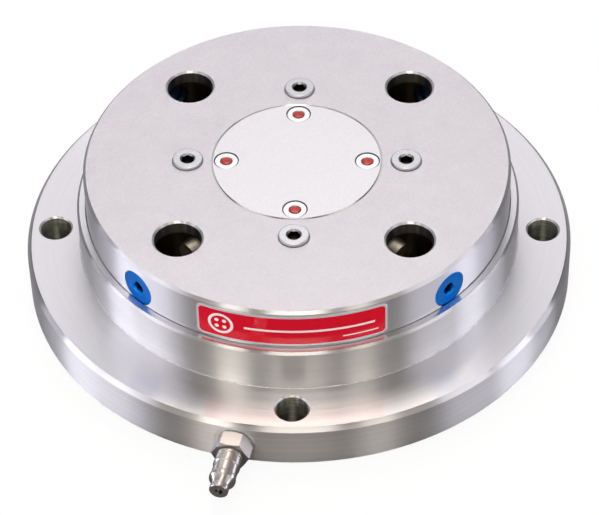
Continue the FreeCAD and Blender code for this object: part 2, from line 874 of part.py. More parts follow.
def nipple_poppet():
    """Valve poppet: a disc that carries the seal, with a thin stem in the nipple's mouth."""
    stem = poppet_stem_diameter / 2
    disc_front = valve_seat - poppet_seal_thickness
    poppet = turned([
        (0, disc_front - poppet_thickness),
        (poppet_diameter / 2, disc_front - poppet_thickness),
        (poppet_diameter / 2, disc_front),
        (stem, disc_front),
        (stem, nipple_tip - poppet_stem_inset - stem),
        (0, nipple_tip - poppet_stem_inset, stem * math.sqrt(0.5),
         nipple_tip - poppet_stem_inset - stem * (1 - math.sqrt(0.5))),
    ])
    return outward(poppet, port_angle, port_height)


def nipple_poppet_seal():
    """Rubber washer on the poppet's front, against the valve seat."""
    front = valve_seat
    ring = rod(poppet_diameter / 2, front - poppet_seal_thickness, front)
    hole = rod(poppet_stem_diameter / 2, front - poppet_seal_thickness - 1, front + 1)
    return outward(ring.cut(hole), port_angle, port_height)


def nipple_spring():
    """Square-wire spring between the chamber's floor and the poppet."""
    bottom = valve_seat - nipple_chamber_depth
    top = valve_seat - poppet_seal_thickness - poppet_thickness
    wire = poppet_spring_wire
    inner = poppet_diameter / 2 - wire
    rise = top - bottom - wire
    helix = Part.makeHelix(rise / poppet_spring_turns, rise, inner)
    section = Part.makePolygon([
        Vector(inner, 0, 0),
        Vector(inner + wire, 0, 0),
        Vector(inner + wire, 0, wire),
        Vector(inner, 0, wire),
        Vector(inner, 0, 0),
    ])
    coil = Part.Wire(helix.Edges).makePipeShell([section], True, True)
    coil.translate(Vector(0, 0, bottom))
    return outward(coil, port_angle, port_height)


# ---------------------------------------------------------------- label


def label_plate():
    """Thin plate with rounded corners, bent round the front of the body's side."""
    outer = body_radius + label_thickness
    half_chord = outer * math.sin(label_length / 2 / body_radius)
    bottom = land_height + label_above_land
    outline = Part.makeBox(2 * half_chord, outer, label_height, Vector(-half_chord, -outer, bottom))
    corners = [edge for edge in outline.Edges if abs(edge.tangentAt(edge.FirstParameter).y) > 0.9]
    outline = outline.makeFillet(label_corner_radius, corners)
    shell = rod(outer, bottom, bottom + label_height).cut(
        rod(body_radius, bottom - 1, bottom + label_height + 1)
    )
    return shell.common(outline)


# ---------------------------------------------------------------- assembly

os.makedirs("parts", exist_ok=True)

save("mounting_flange", [mounting_flange()])
save("cylinder_housing", [cylinder_housing()])
save("spigot_seal", [spigot_seal()])
save("locating_dowels", locating_dowels())
save("body_seal", [flat_ring(
    body_seal_radius, seat_height - seal_squeezed, seal_width, seal_squeezed, seal_corner
)])
save("backing_disc", [backing_disc()])
save("clamp_body", [clamp_body()])
save("body_screws", body_screws())
save("bore_plugs", bore_plugs())
save("bore_plug_seals", bore_plug_seals())
save("centre_cover", [centre_cover()])
save("cover_seal", [flat_ring(
    cover_seal_radius, cover_seat_height - cover_seal_squeezed, cover_seal_width,
    cover_seal_squeezed, cover_seal_corner,
)])
save("cover_screws", cover_screws())
save("cover_screw_lacquer", cover_screw_lacquer())
for place, angle in DIAGONAL_ANGLES.items():
    save(f"lock_pin_{place}", [lock_pin(angle)])
    save(f"lock_pin_seal_{place}", [outward(lock_pin_seal(), angle, pin_height)])
save("drive_piston", [drive_piston()])
save("piston_seal", [piston_seal()])
save("disc_springs", disc_springs())
save("nipple_body", [nipple_body()])
save("nipple_washer", [nipple_washer()])
save("nipple_poppet", [nipple_poppet()])
save("nipple_poppet_seal", [nipple_poppet_seal()])
save("nipple_spring", [nipple_spring()])
save("label_plate", [label_plate()])
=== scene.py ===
# %% [markdown]
# # A pneumatic quick-change base plate: light and finishes
#
# The real thing is a machinist's part: two turned steel plates, a ground clamping plate, a flush
# cover, blue anodised plugs, a red label and a small nickel-plated air nipple. Its shapes come
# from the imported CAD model, so this lesson is about light and surfaces. We load the model, set
# up the camera and a soft studio, and then work out each finish from how its surface was made.

import math

import bpy
from mathutils import Matrix, Vector


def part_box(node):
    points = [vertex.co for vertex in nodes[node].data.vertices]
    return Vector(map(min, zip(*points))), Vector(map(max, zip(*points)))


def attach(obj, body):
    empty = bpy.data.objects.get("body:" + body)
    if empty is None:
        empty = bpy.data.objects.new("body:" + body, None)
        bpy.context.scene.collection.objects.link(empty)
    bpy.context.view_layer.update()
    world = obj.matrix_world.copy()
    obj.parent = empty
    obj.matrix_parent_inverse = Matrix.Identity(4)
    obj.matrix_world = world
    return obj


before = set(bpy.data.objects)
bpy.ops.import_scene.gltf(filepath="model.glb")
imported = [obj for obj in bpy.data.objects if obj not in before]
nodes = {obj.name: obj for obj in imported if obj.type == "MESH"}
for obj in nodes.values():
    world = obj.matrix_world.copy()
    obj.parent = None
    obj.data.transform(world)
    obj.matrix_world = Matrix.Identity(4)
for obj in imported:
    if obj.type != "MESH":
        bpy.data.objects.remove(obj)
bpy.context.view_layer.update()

# %% [markdown]
# ## Sizes that the finishes need
#
# Heights and positions are read off the nodes' own boxes. A box can't tell where a bore is, so
# the few places where a finish changes inside one node are written here once, in metres. How
# far a surface faces up tells its parts from one another: the upward share of its normal is
# near 1 on a flat face, about 0.7 on a chamfer and 0 on a wall.

# %% Sizes
MM = 0.001
PLACES = ("back_left", "back_right", "front_left", "front_right")
body_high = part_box("clamp_body")[1]
disc_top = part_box("backing_disc")[1].z
STUD_BORE = (48 * MM, 48 * MM, 0.0)
STUD_BORE_WALL = 10.9 * MM
STUD_LAND_DEPTH = 6.3 * MM
STUD_MOUTH = 0.8 * MM
BOLT_HOLE = (106 * MM, 0.0, 0.0)
BOLT_HOLE_WALL = 7.6 * MM
BOLT_HOLE_MOUTH = 0.72 * MM
BODY_SCREW = (46.5 * MM, 0.0, 0.0)
SOCKET_WALL = 3.3 * MM
SOCKET_MOUTH = 0.8 * MM
PLUG_HEIGHT = 48 * MM
PLUG_FACE = body_high.x - 0.2 * MM
screw_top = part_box("body_screws")[1].z
FACES_UP = 0.95
LEANS_UP = 0.3
print("clamping face at", round(body_high.z / MM, 2), "mm, backing disc at", round(disc_top / MM, 2), "mm")

# %% [markdown]
# ## Two small helpers
#
# Colours are easiest to read as the hex values of a paint chart. Those are sRGB numbers, and
# Blender works in linear light, so one function turns each of them over. The other helper adds
# a shader node, sets what we name and links what we hand it, which keeps the finishes short.


# %% Colour and node helpers
def colour(code):
    """Linear colour of an sRGB hex value such as "#C8C6CE"."""
    parts = [int(code[i : i + 2], 16) / 255 for i in (1, 3, 5)]
    linear = [c / 12.92 if c <= 0.04045 else ((c + 0.055) / 1.055) ** 2.4 for c in parts]
    return (*linear, 1.0)


def add(tree, kind, inputs=None, **settings):
    """A new node: settings are its properties, inputs are values, or sockets to link from."""
    node = tree.nodes.new("ShaderNode" + kind)
    for name, value in settings.items():
        setattr(node, name, value)
    for socket, value in (inputs or {}).items():
        if isinstance(value, bpy.types.NodeSocket):
            tree.links.new(value, node.inputs[socket])
        else:
            node.inputs[socket].default_value = value
    return node


print("mid grey #808080 is", round(colour("#808080")[0], 3), "in linear light")

# %% [markdown]
# ## Camera
#
# The view looks down at the plate from the front at about 44 degrees, through a long lens, so
# its circles are nearly true ellipses. The camera also leans a degree and a half about its own
# axis, which tips the whole plate a little. Euler angles would hide that lean among the others,
# so we build the camera's three axes by hand and put them in one matrix. The Standard view
# shows colours as they are, with no film look over them.

# %% Camera
ELEVATION = math.radians(44.306)
AZIMUTH = math.radians(2.562)
LEAN = math.radians(-1.596)
DISTANCE = 1.2169
FOCAL_LENGTH = 166.35
SENSOR_WIDTH = 36.0
LOOK_AT = Vector((0.0, 0.0, 0.00295))

backward = Vector((
    math.sin(AZIMUTH) * math.cos(ELEVATION),
    -math.cos(AZIMUTH) * math.cos(ELEVATION),
    math.sin(ELEVATION),
))
level_right = Vector((0, 0, 1)).cross(backward).normalized()
level_up = backward.cross(level_right)
right = math.cos(LEAN) * level_right + math.sin(LEAN) * level_up
up = math.cos(LEAN) * level_up - math.sin(LEAN) * level_right

lens = bpy.data.cameras.new("camera")
lens.lens = FOCAL_LENGTH
lens.sensor_width = SENSOR_WIDTH
camera = bpy.data.objects.new("camera", lens)
bpy.context.scene.collection.objects.link(camera)
turned = Matrix((right, up, backward)).transposed().to_4x4()
camera.matrix_world = Matrix.Translation(LOOK_AT + DISTANCE * backward) @ turned
bpy.context.scene.camera = camera
bpy.context.scene.view_settings.view_transform = "Standard"
print("camera at", [round(value, 3) for value in camera.location])

# %% [markdown]
# ## Soft studio light
#
# Bare metal has hardly any colour of its own: it shows what stands round it. So the studio is a
# set of softboxes with dark gaps between them. The flat faces mirror the big box behind, and
# take some of their light from the long strip just behind the zenith. Low lamps just above the
# table draw one bright band down each side of every round wall. Dimmer ones beside them feather
# its edges, and the gaps beyond leave the darker bands. The box over the camera and the two
# lamps at the front light what faces the viewer: the front of the ledge, the chamfers and the
# walls. The side strips lift the walls between those a little.
#
# There are more lamps here, and more exactly set, than in a plain studio. Their levels were
# tuned for this one view, so the bands come from the light as much as from the finishes. Seen
# from straight above, over a third of the flange's ledge burns out to white.


# %% Softboxes
def softbox(name, azimuth, elevation, distance, width, height, level, tint):
    """Area lamp that faces the plate. Azimuth 0 is behind it and 90 is on its right."""
    turn = math.radians(azimuth)
    rise = math.radians(elevation)
    towards = Vector((
        math.sin(turn) * math.cos(rise),
        math.cos(turn) * math.cos(rise),
        math.sin(rise),
    ))
    lamp = bpy.data.lights.new(name, "AREA")
    lamp.shape = "RECTANGLE"
    lamp.size = width
    lamp.size_y = height
    lamp.color = colour(tint)[:3]
    lamp.energy = math.pi * width * height * level
    holder = bpy.data.objects.new(name, lamp)
    bpy.context.scene.collection.objects.link(holder)
    holder.rotation_euler = towards.to_track_quat("Z", "Y").to_euler()
    holder.location = towards * distance


# Name, azimuth and elevation in degrees, distance, width and height in metres, level, tint
SOFTBOXES = [
    ("softbox_back", 0, 44, 1.5, 2.3, 1.5, 0.92, "#FBF9FF"),
    ("softbox_back_left", -50, 38, 1.5, 0.6, 1.0, 0.25, "#FBF9FF"),
    ("low_left_key", -100, 4, 0.7, 0.2, 0.12, 13.2, "#F3F3FF"),
    ("low_left_near", -85, 4, 0.7, 0.2, 0.12, 2.5, "#F3F3FF"),
    ("low_left_far", -115, 4, 0.7, 0.2, 0.12, 5.1, "#F3F3FF"),
    ("low_left_feather", -120, 12, 0.7, 0.25, 0.3, 2.1, "#F3F3FF"),
    ("low_right_key", 100, 4, 0.7, 0.2, 0.12, 11.4, "#F3F3FF"),
    ("low_right_near", 85, 4, 0.7, 0.2, 0.12, 4.4, "#F3F3FF"),
    ("low_right_feather", 120, 12, 0.7, 0.25, 0.3, 2.4, "#F3F3FF"),
    ("overhead", 0, 74, 1.5, 0.5, 1.1, 3.3, "#FFF8EC"),
    ("over_camera", 180, 60, 1.5, 0.5, 0.5, 4.8, "#FFF8EC"),
    ("side_left", -125, 38, 1.5, 1.2, 0.3, 1.2, "#FFF8EC"),
    ("side_right", 125, 38, 1.5, 1.2, 0.3, 1.2, "#FFF8EC"),
    ("front_left", -152, 15, 1.4, 0.3, 0.5, 5.8, "#FFF8EC"),
    ("front_right", 152, 15, 1.4, 0.3, 0.5, 3.4, "#FFF8EC"),
]
for box in SOFTBOXES:
    softbox(*box)
print(len(SOFTBOXES), "softboxes")

# %% [markdown]
# ## World and floor
#
# The background is plain white paper. That white is only a colour that the camera sees, and
# never more light on the metal: Light Path picks out the camera's own rays, and any that have
# passed through something clear, and all the others meet a room. Matt things, such as the label
# and the rubber, take a soft light of half strength from it.
#
# Metal ought to mirror the white paper as well, and here it hardly does. It sees a dim room with
# a twentieth of the white mixed in, above a dark grey table. That was chosen for its contrast:
# with the whole of the white, and the lamps as they stand, about two thirds of the plate burns
# out to white. The whole of the white under lower lamps was not tried. The floor is white to
# the camera alone, and keeps a matt share, which holds the soft shadow.

# %% World
WHITE = (1, 1, 1, 1)
METAL_SEES_WHITE = 0.05
ROOM_FOR_METAL = 0.04
ROOM_FOR_MATT = 0.5
world = bpy.data.worlds.new("studio")
bpy.context.scene.world = world
world.use_nodes = True
tree = world.node_tree
tree.nodes.clear()
rays = add(tree, "LightPath")
mirrored = add(
    tree, "Math", {0: rays.outputs["Is Glossy Ray"], 1: METAL_SEES_WHITE}, operation="MULTIPLY"
)
clear = add(
    tree, "Math", {0: rays.outputs["Is Camera Ray"], 1: rays.outputs["Is Transmission Ray"]},
    operation="MAXIMUM",
)
white_share = add(tree, "Math", {0: clear.outputs[0], 1: mirrored.outputs[0]}, operation="ADD")
level = add(
    tree, "MapRange",
    {"Value": rays.outputs["Is Diffuse Ray"], "To Min": ROOM_FOR_METAL, "To Max": ROOM_FOR_MATT},
)
room = add(tree, "Background", {"Color": WHITE, "Strength": level.outputs[0]})
paper = add(tree, "Background", {"Color": WHITE, "Strength": 1.0})
seen = add(tree, "MixShader", {0: white_share.outputs[0], 1: room.outputs[0], 2: paper.outputs[0]})
add(tree, "OutputWorld", {"Surface": seen.outputs[0]})
print("world has", len(tree.nodes), "nodes")

# %% Floor
FLOOR_RADIUS = 3.0
FLOOR_DROP = 0.4 * MM
FLOOR_MATT_SHARE = 0.1
bpy.ops.object.select_all(action="DESELECT")
bpy.ops.mesh.primitive_circle_add(
    vertices=96, radius=FLOOR_RADIUS, fill_type="NGON", location=(0, 0, -FLOOR_DROP)
)
floor = bpy.context.object
floor.name = "floor"
sweep = bpy.data.materials.new("white_paper_sweep")
sweep.use_nodes = True
tree = sweep.node_tree
tree.nodes.clear()
rays = add(tree, "LightPath")
glow = add(tree, "Emission", {"Color": WHITE, "Strength": 1.0})
matt = add(tree, "BsdfDiffuse", {"Color": colour("#F4F4F4")})
white = add(tree, "MixShader", {0: FLOOR_MATT_SHARE, 1: glow.outputs[0], 2: matt.outputs[0]})
table = add(tree, "BsdfDiffuse", {"Color": colour("#5C5B5E")})
seen = add(
    tree, "MixShader", {0: rays.outputs["Is Camera Ray"], 1: table.outputs[0], 2: white.outputs[0]}
)
add(tree, "OutputMaterial", {"Surface": seen.outputs[0]})
floor.data.materials.append(sweep)
print("floor", round(floor.dimensions.x, 2), "m across")

# %% [markdown]
# ## How every finish starts
#
# Each finish begins with one Principled shader, whose plain values are set on its own sockets,
# so that they are exported as they are. Only what varies over the surface is made of nodes.
# A second function hands a finished material to CAD nodes by name.


# %% Start a material, and dress a node
def start_material(name, base, roughness, **sockets):
    """New material with plain values. Underscores in the names stand for spaces."""
    material = bpy.data.materials.new(name)
    material.use_nodes = True
    shader = material.node_tree.nodes["Principled BSDF"]
    shader.inputs["Base Color"].default_value = colour(base)
    shader.inputs["Roughness"].default_value = roughness
    for socket, value in sockets.items():
        shader.inputs[socket.replace("_", " ")].default_value = value
    return material, material.node_tree, shader


def dress(material, *names):
    """Gives CAD nodes one material all over."""
    for name in names:
        slots = nodes[name].data.materials
        slots.clear()
        slots.append(material)
    print(material.name, "on", ", ".join(names))


# %% [markdown]
# ## Reading the place on a surface
#
# A lathe's pattern depends on where a point is, so three short functions read that. The
# tool's path is the radius less the height, in millimetres: it grows along a flat face and
# along a wall alike, so one pattern serves both. The direction round the axis comes from the
# surface's normal on walls and in holes, and from the position on flat faces, where the normal
# can't say. The last one tells whether a point is near one of four bores: the absolute value
# folds the four quarters of the plate on one, so that one distance does for them all.


# %% Path, direction and bores
def tool_path(tree, position):
    """Distance along the tool's path, in millimetres."""
    split = add(tree, "SeparateXYZ", {0: position})
    flat = add(tree, "CombineXYZ", {0: split.outputs[0], 1: split.outputs[1]})
    radius = add(tree, "VectorMath", {0: flat.outputs[0]}, operation="LENGTH")
    path = add(
        tree, "Math", {0: radius.outputs["Value"], 1: split.outputs[2]}, operation="SUBTRACT"
    )
    return add(tree, "Math", {0: path.outputs[0], 1: 1 / MM}, operation="MULTIPLY").outputs[0]


def round_the_axis(tree, position):
    """Direction in which the tool ran: level along walls, and round the plate on its faces."""
    normal = add(tree, "NewGeometry").outputs["Normal"]
    on_face = add(tree, "VectorMath", {0: (0, 0, 1), 1: position}, operation="CROSS_PRODUCT")
    on_wall = add(tree, "VectorMath", {0: (0, 0, 1), 1: normal}, operation="CROSS_PRODUCT")
    both = add(
        tree, "VectorMath", {0: on_wall.outputs[0], 1: (1, 1, 1), 2: on_face.outputs[0]},
        operation="MULTIPLY_ADD",
    )
    return add(tree, "VectorMath", {0: both.outputs[0]}, operation="NORMALIZE").outputs[0]


def near_bores(tree, position, bore, wall, on_axes=False):
    """1 within the wall's radius of four bores, and 0 elsewhere."""
    quarter = add(tree, "VectorMath", {0: position}, operation="ABSOLUTE")
    split = add(tree, "SeparateXYZ", {0: quarter.outputs[0]})
    x, y = split.outputs[0], split.outputs[1]
    if on_axes:
        larger = add(tree, "Math", {0: x, 1: y}, operation="MAXIMUM").outputs[0]
        smaller = add(tree, "Math", {0: x, 1: y}, operation="MINIMUM").outputs[0]
        x, y = larger, smaller
    flat = add(tree, "CombineXYZ", {0: x, 1: y})
    away = add(tree, "VectorMath", {0: flat.outputs[0], 1: bore}, operation="DISTANCE")
    return add(tree, "Math", {0: away.outputs["Value"], 1: wall}, operation="LESS_THAN").outputs[0]


print("three readers of place")

# %% [markdown]
# ## Turned steel
#
# The flange and the cylinder housing are turned from tool steel. The cutting tip leaves grooves
# round the axis, a fraction of a millimetre apart, and they spread each reflection across
# themselves. That gives the flat faces their bright fans and the walls their soft vertical
# bands. An anisotropic shader makes the fans, with its tangent along the grooves, and a shallow
# bump and slow changes of gloss make the lines that the eye can follow. Real grooves are 0.1 mm
# apart, too fine to show here, so they are drawn at half a millimetre.
#
# The faces were finished with a finer feed than the walls, and the narrow land under the body
# finest of all: it almost mirrors the wall, the blue plugs and the label. The chamfers shine
# more than the walls and show no grooves, since the flat side of a tool cuts them in one touch.
# The drilled bolt holes in the same part were never polished. Their colour is darkened, partly for the
# duller drilled steel and partly as painted shade in the holes, and ringed by the drill.


# %% Turned steel
WALL_GLOSS = 0.48
FACE_GLOSS = 0.25
EDGE_GLOSS = 0.3
LAND_GLOSS = 0.2
LAND_SKIN = 0.1 * MM
GROOVE = 0.5
GROOVE_RELIEF = 0.3
GROOVE_DEPTH = 0.02 * MM
land_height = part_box("cylinder_housing")[1].z
flange_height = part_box("mounting_flange")[1].z


def turned_steel(name, base, drilled_and_shade, groove):
    """Turned steel, with a darker colour in the bolt holes on the flange's bolt circle, partly painted
    shade. Groove is in millimetres.
    """
    material, tree, shader = start_material(
        name, base, WALL_GLOSS, Metallic=1.0, Anisotropic=1.0, Anisotropic_Rotation=0.25
    )
    position = add(tree, "TexCoord").outputs["Object"]
    height = add(tree, "SeparateXYZ", {0: position}).outputs[2]
    tree.links.new(round_the_axis(tree, position), shader.inputs["Tangent"])
    path = tool_path(tree, position)
    grooves = add(
        tree, "TexNoise", {"W": path, "Scale": 1 / groove, "Detail": 2.0}, noise_dimensions="1D"
    )
    passes = add(
        tree, "TexNoise", {"W": path, "Scale": 0.35, "Detail": 4.0}, noise_dimensions="1D"
    )
    upward = add(tree, "SeparateXYZ", {0: add(tree, "NewGeometry").outputs["Normal"]}).outputs[2]
    on_edge = add(tree, "Math", {0: upward, 1: LEANS_UP}, operation="GREATER_THAN").outputs[0]
    on_face = add(tree, "Math", {0: upward, 1: FACES_UP}, operation="GREATER_THAN").outputs[0]
    on_land = add(
        tree, "Math", {0: height, 1: land_height - LAND_SKIN}, operation="GREATER_THAN"
    ).outputs[0]
    # A Mix with a switch of 0 or 1 picks one of two numbers.
    off_face = add(tree, "Mix", {0: on_edge, 2: GROOVE_RELIEF, 3: 0.0}).outputs[0]
    relief = add(tree, "Mix", {0: on_face, 2: off_face, 3: GROOVE_RELIEF}).outputs[0]
    bump = add(
        tree, "Bump", {"Height": grooves.outputs[0], "Strength": relief, "Distance": GROOVE_DEPTH}
    )
    tree.links.new(bump.outputs[0], shader.inputs["Normal"])
    side = add(tree, "Mix", {0: on_edge, 2: WALL_GLOSS, 3: EDGE_GLOSS}).outputs[0]
    face = add(tree, "Mix", {0: on_face, 2: side, 3: FACE_GLOSS}).outputs[0]
    plain = add(tree, "Mix", {0: on_land, 2: face, 3: LAND_GLOSS}).outputs[0]
    middle_of_noise = {"Value": passes.outputs[0], "From Min": 0.3, "From Max": 0.7}
    spread = add(tree, "MapRange", {**middle_of_noise, "To Min": 0.92, "To Max": 1.08})
    gloss = add(tree, "Math", {0: plain, 1: spread.outputs[0]}, operation="MULTIPLY")
    tree.links.new(gloss.outputs[0], shader.inputs["Roughness"])

    tone = add(tree, "MapRange", {**middle_of_noise, "To Min": 0.94, "To Max": 1.0})
    steel = add(
        tree, "VectorMath", {0: colour(base)[:3], "Scale": tone.outputs[0]}, operation="SCALE"
    )
    flat_layers = (1 / (9 * MM), 1 / (9 * MM), 1 / (0.8 * MM))
    layered = add(tree, "Mapping", {"Vector": position, "Scale": flat_layers})
    marks = add(tree, "TexNoise", {"Vector": layered.outputs[0], "Scale": 1.0, "Detail": 2.0})
    middle_of_marks = {"Value": marks.outputs[0], "From Min": 0.35, "From Max": 0.65}
    dark = add(tree, "MapRange", {**middle_of_marks, "To Min": 0.75, "To Max": 1.25})
    # Below the mouth the bolt holes get a darker colour, which is partly painted shade.
    bore = add(
        tree, "VectorMath", {0: colour(drilled_and_shade)[:3], "Scale": dark.outputs[0]}, operation="SCALE"
    )
    in_hole = near_bores(tree, position, BOLT_HOLE, BOLT_HOLE_WALL, on_axes=True)
    mouth = flange_height - BOLT_HOLE_MOUTH
    below = add(tree, "Math", {0: height, 1: mouth}, operation="LESS_THAN")
    drilled_shade_here = add(tree, "Math", {0: in_hole, 1: below.outputs[0]}, operation="MULTIPLY")
    surface = add(
        tree, "Mix", {0: drilled_shade_here.outputs[0], 6: steel.outputs[0], 7: bore.outputs[0]},
        data_type="RGBA",
    )
    tree.links.new(surface.outputs[2], shader.inputs["Base Color"])
    return material


# The third colour is the bolt holes' darker colour, partly painted shade.
base_steel = turned_steel("turned_tool_steel", "#ECEAEB", "#A2A398", GROOVE)
dress(base_steel, "mounting_flange", "cylinder_housing")

# %% [markdown]
# ## The clamping body: turned walls, ground face, painted shade in the bores
#
# The body is one piece with two finishes and painted shade in its bores. Its wall is turned like the base.
# Its top was ground flat with a cup wheel and then lapped, so its fine scratches run every way and the
# face looks even and silky. Inside the stud bores, below the mouth, the colour is painted shade: dark grey
# along the guiding land, and darker and browner below it.
#
# Anisotropy is one number over the whole material. So on the top we don't turn it off: we send its tangent
# in a new random direction every few tenths of a millimetre, which is just what the scratches of lapping
# do, and the sum looks the same from every side.


# %% Clamping body
TOP_GLOSS = 0.48
TOP_SKIN = 0.02 * MM
LAPPING = 0.3 * MM
GRAIN = 0.7 * MM
CLOUD_SHARE = 0.3


def ground_and_turned_body():
    """The clamping body's steel: turned wall, ground top, and painted shade in the bores, lighter on the
    land.
    """
    material, tree, shader = start_material(
        "ground_and_turned_steel", "#E4E1E8", TOP_GLOSS,
        Metallic=1.0, Anisotropic=1.0, Anisotropic_Rotation=0.25,
    )
    position = add(tree, "TexCoord").outputs["Object"]
    split = add(tree, "SeparateXYZ", {0: position})
    height = split.outputs[2]
    on_top = add(
        tree, "Math", {0: height, 1: body_high.z - TOP_SKIN}, operation="GREATER_THAN"
    ).outputs[0]

    lapped = add(tree, "TexNoise", {"Vector": position, "Scale": 1 / LAPPING, "Detail": 0.0})
    any_way = add(
        tree, "VectorMath", {0: lapped.outputs["Color"], 1: (0.5, 0.5, 0.5)}, operation="SUBTRACT"
    )
    tangent = add(
        tree, "Mix", {0: on_top, 4: round_the_axis(tree, position), 5: any_way.outputs[0]},
        data_type="VECTOR",
    )
    direction = add(tree, "VectorMath", {0: tangent.outputs[1]}, operation="NORMALIZE")
    tree.links.new(direction.outputs[0], shader.inputs["Tangent"])

    upward = add(tree, "SeparateXYZ", {0: add(tree, "NewGeometry").outputs["Normal"]}).outputs[2]
    on_edge = add(tree, "Math", {0: upward, 1: LEANS_UP}, operation="GREATER_THAN").outputs[0]
    side = add(tree, "Mix", {0: on_edge, 2: WALL_GLOSS, 3: EDGE_GLOSS}).outputs[0]
    gloss = add(tree, "Mix", {0: on_top, 2: side, 3: TOP_GLOSS}).outputs[0]
    tree.links.new(gloss, shader.inputs["Roughness"])
    path = tool_path(tree, position)
    grooves = add(
        tree, "TexNoise", {"W": path, "Scale": 1 / GROOVE, "Detail": 2.0}, noise_dimensions="1D"
    )
    grain = add(tree, "TexNoise", {"Vector": position, "Scale": 1 / GRAIN, "Detail": 3.0})
    relief = add(tree, "Mix", {0: on_top, 2: grooves.outputs[0], 3: grain.outputs[0]})
    off_top = add(tree, "Mix", {0: on_edge, 2: GROOVE_RELIEF, 3: 0.0}).outputs[0]
    strength = add(tree, "Mix", {0: on_top, 2: off_top, 3: GROOVE_RELIEF}).outputs[0]
    bump = add(
        tree, "Bump", {"Height": relief.outputs[0], "Strength": strength, "Distance": GROOVE_DEPTH}
    )
    tree.links.new(bump.outputs[0], shader.inputs["Normal"])

    cloud = add(tree, "TexNoise", {"Vector": position, "Scale": 1 / (9 * MM), "Detail": 3.0})
    mottle = add(
        tree, "Math", {0: cloud.outputs[0], 1: CLOUD_SHARE, 2: grain.outputs[0]},
        operation="MULTIPLY_ADD",
    )
    face = add(tree, "ValToRGB", {0: mottle.outputs[0]})
    face.color_ramp.elements[0].position = 0.4
    face.color_ramp.elements[0].color = colour("#EDE9F0")
    face.color_ramp.elements[1].position = 0.9
    face.color_ramp.elements[1].color = colour("#F8F6FC")
    wall = colour("#ECEAED")
    outer = add(tree, "Mix", {0: on_top, 6: wall, 7: face.outputs[0]}, data_type="RGBA")

    # Painted shade in the stud bores below the mouth: dark grey on the land, darker and browner deeper
    # down.
    in_bore = near_bores(tree, position, STUD_BORE, STUD_BORE_WALL)
    mouth = body_high.z - STUD_MOUTH
    below_edge = add(tree, "Math", {0: height, 1: mouth}, operation="LESS_THAN").outputs[0]
    in_shaded_bore = add(tree, "Math", {0: in_bore, 1: below_edge}, operation="MULTIPLY").outputs[0]
    depth = add(
        tree, "MapRange",
        {"Value": height, "From Min": body_high.z - STUD_LAND_DEPTH, "From Max": body_high.z},
    )
    painted_bore_shade = add(tree, "ValToRGB", {0: depth.outputs[0]})
    painted_bore_shade.color_ramp.elements[0].position = 0.0
    painted_bore_shade.color_ramp.elements[0].color = colour("#2C241D")
    painted_bore_shade.color_ramp.elements[1].position = 0.12
    painted_bore_shade.color_ramp.elements[1].color = colour("#55534F")
    surface = add(
        tree, "Mix", {0: in_shaded_bore, 6: outer.outputs[2], 7: painted_bore_shade.outputs[0]}, data_type="RGBA"
    )
    tree.links.new(surface.outputs[2], shader.inputs["Base Color"])
    return material


dress(ground_and_turned_body(), "clamp_body")

# %% [markdown]
# ## The backing disc
#
# At the bottom of each stud bore lies the backing disc. It is black-oxidised, the cheap way to
# keep rust off hidden steel: a hot salt bath leaves a thin black skin, brownish where oil
# soaks in. Only a little light gets down there, so a dark metal with cloudy gloss is enough.

# %% Black oxide
black_oxide, tree, shader = start_material("black_oxide_steel", "#241E19", 0.45, Metallic=0.9)
position = add(tree, "TexCoord").outputs["Object"]
cloud = add(tree, "TexNoise", {"Vector": position, "Scale": 1 / (4 * MM), "Detail": 4.0})
skin = add(tree, "ValToRGB", {0: cloud.outputs[0]})
skin.color_ramp.elements[0].color = colour("#221B14")
skin.color_ramp.elements[1].color = colour("#4A3B2B")
tree.links.new(skin.outputs[0], shader.inputs["Base Color"])
gloss = add(tree, "MapRange", {"Value": cloud.outputs[0], "To Min": 0.35, "To Max": 0.55})
tree.links.new(gloss.outputs[0], shader.inputs["Roughness"])
dress(black_oxide, "backing_disc")

# %% [markdown]
# ## The centre cover
#
# The cover is a separate disc, ground on a surface grinder by itself, so it is a touch brighter
# and more neutral than the face round it. Its scratches are too fine to give it a direction.
# Its small chamfer is smoother, and helps to draw the thin line round it.

# %% Ground steel
COVER_EDGE_GLOSS = 0.2
ground_steel, tree, shader = start_material("surface_ground_steel", "#ECEAEE", 0.5, Metallic=1.0)
position = add(tree, "TexCoord").outputs["Object"]
grain = add(tree, "TexNoise", {"Vector": position, "Scale": 1 / GRAIN, "Detail": 3.0})
face = add(tree, "ValToRGB", {0: grain.outputs[0]})
face.color_ramp.elements[0].position = 0.3
face.color_ramp.elements[0].color = colour("#D6D5D9")
face.color_ramp.elements[1].position = 0.7
face.color_ramp.elements[1].color = colour("#DFDFE3")
tree.links.new(face.outputs[0], shader.inputs["Base Color"])
upward = add(tree, "SeparateXYZ", {0: add(tree, "NewGeometry").outputs["Normal"]}).outputs[2]
on_face = add(tree, "Math", {0: upward, 1: FACES_UP}, operation="GREATER_THAN").outputs[0]
gloss = add(tree, "MapRange", {"Value": grain.outputs[0], "To Min": 0.44, "To Max": 0.54})
whole = add(tree, "Mix", {0: on_face, 2: COVER_EDGE_GLOSS, 3: gloss.outputs[0]})
tree.links.new(whole.outputs[0], shader.inputs["Roughness"])
bump = add(tree, "Bump", {"Height": grain.outputs[0], "Strength": 0.3, "Distance": 0.01 * MM})
tree.links.new(bump.outputs[0], shader.inputs["Normal"])
dress(ground_steel, "centre_cover")
